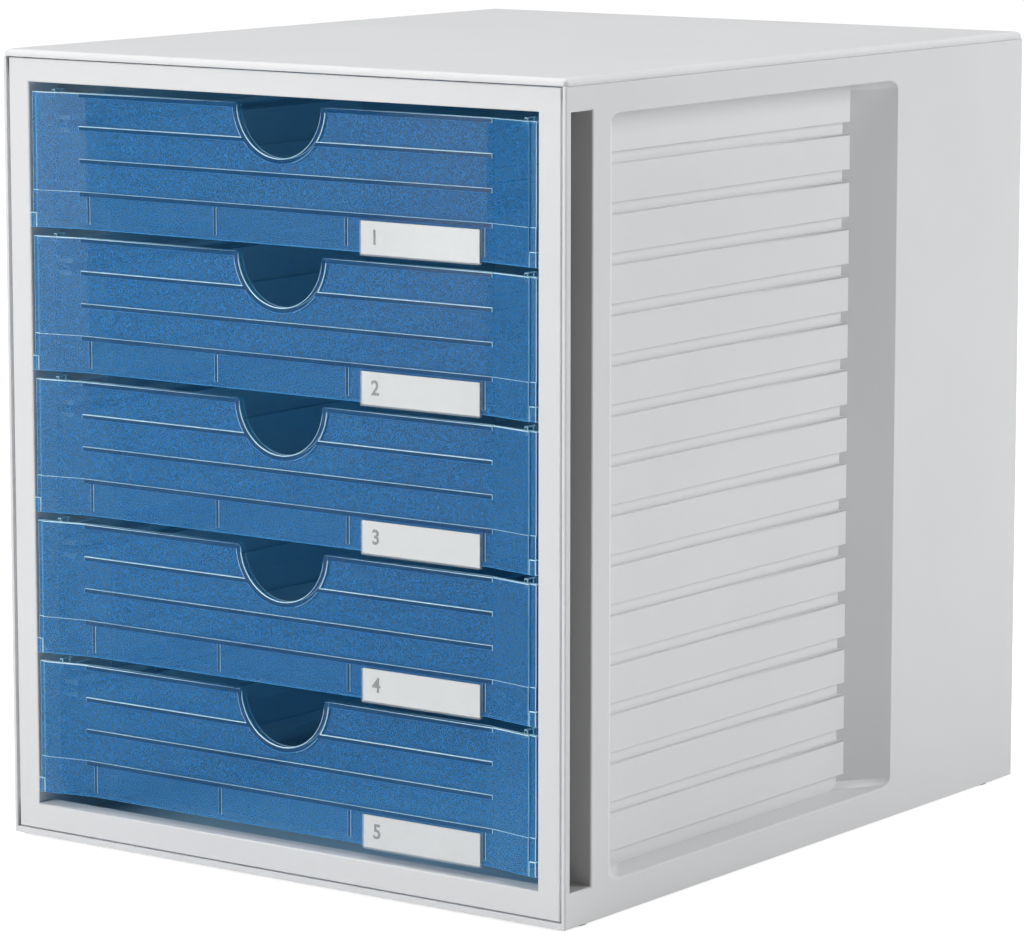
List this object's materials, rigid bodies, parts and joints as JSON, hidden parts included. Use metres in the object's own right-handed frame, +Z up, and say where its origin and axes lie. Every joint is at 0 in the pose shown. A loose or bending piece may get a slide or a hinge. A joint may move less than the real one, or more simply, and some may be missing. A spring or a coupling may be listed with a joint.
{
  "type": "desktop drawer unit",
  "caption": "Desktop drawer unit for A4 sheets: a grey casing with louvred side recesses and sliding clear blue drawers.",
  "frame": {"origin": "on the table top, under the middle of the unit", "axes": "+X to the right side as seen from the front, +Y to the back, +Z up; the drawers open towards -Y"},
  "size_m": [0.275, 0.33, 0.32],
  "materials": {
    "casing": "fine moulded, satin",
    "drawer": "translucent, fine grain",
    "holder": "clear, polished",
    "card": "plain white card",
    "foot": "matt"
  },
  "bodies": {
    "casing": {"top_panel": "casing", "bottom_panel": "casing", "rear_panel": "casing", "side_panel_right": "casing", "side_panel_left": "casing", "front_frame": "casing", "foot_front_left": "foot", "foot_front_right": "foot", "foot_rear_left": "foot", "foot_rear_right": "foot"},
    "drawer_1": {"drawer_tray_1": "drawer", "label_holder_1": "holder", "label_card_1": "card"},
    "drawer_2": {"drawer_tray_2": "drawer", "label_holder_2": "holder", "label_card_2": "card"},
    "drawer_3": {"drawer_tray_3": "drawer", "label_holder_3": "holder", "label_card_3": "card"},
    "drawer_4": {"drawer_tray_4": "drawer", "label_holder_4": "holder", "label_card_4": "card"},
    "drawer_5": {"drawer_tray_5": "drawer", "label_holder_5": "holder", "label_card_5": "card"}
  },
  "joints": [
    {"name": "drawer_1_slide", "type": "slide", "parent": "casing", "child": "drawer_1", "axis": [0, -1, 0], "range_m": [0, 0.24]},
    {"name": "drawer_2_slide", "type": "slide", "parent": "casing", "child": "drawer_2", "axis": [0, -1, 0], "range_m": [0, 0.24]},
    {"name": "drawer_3_slide", "type": "slide", "parent": "casing", "child": "drawer_3", "axis": [0, -1, 0], "range_m": [0, 0.24]},
    {"name": "drawer_4_slide", "type": "slide", "parent": "casing", "child": "drawer_4", "axis": [0, -1, 0], "range_m": [0, 0.24]},
    {"name": "drawer_5_slide", "type": "slide", "parent": "casing", "child": "drawer_5", "axis": [0, -1, 0], "range_m": [0, 0.24]}
  ]
}
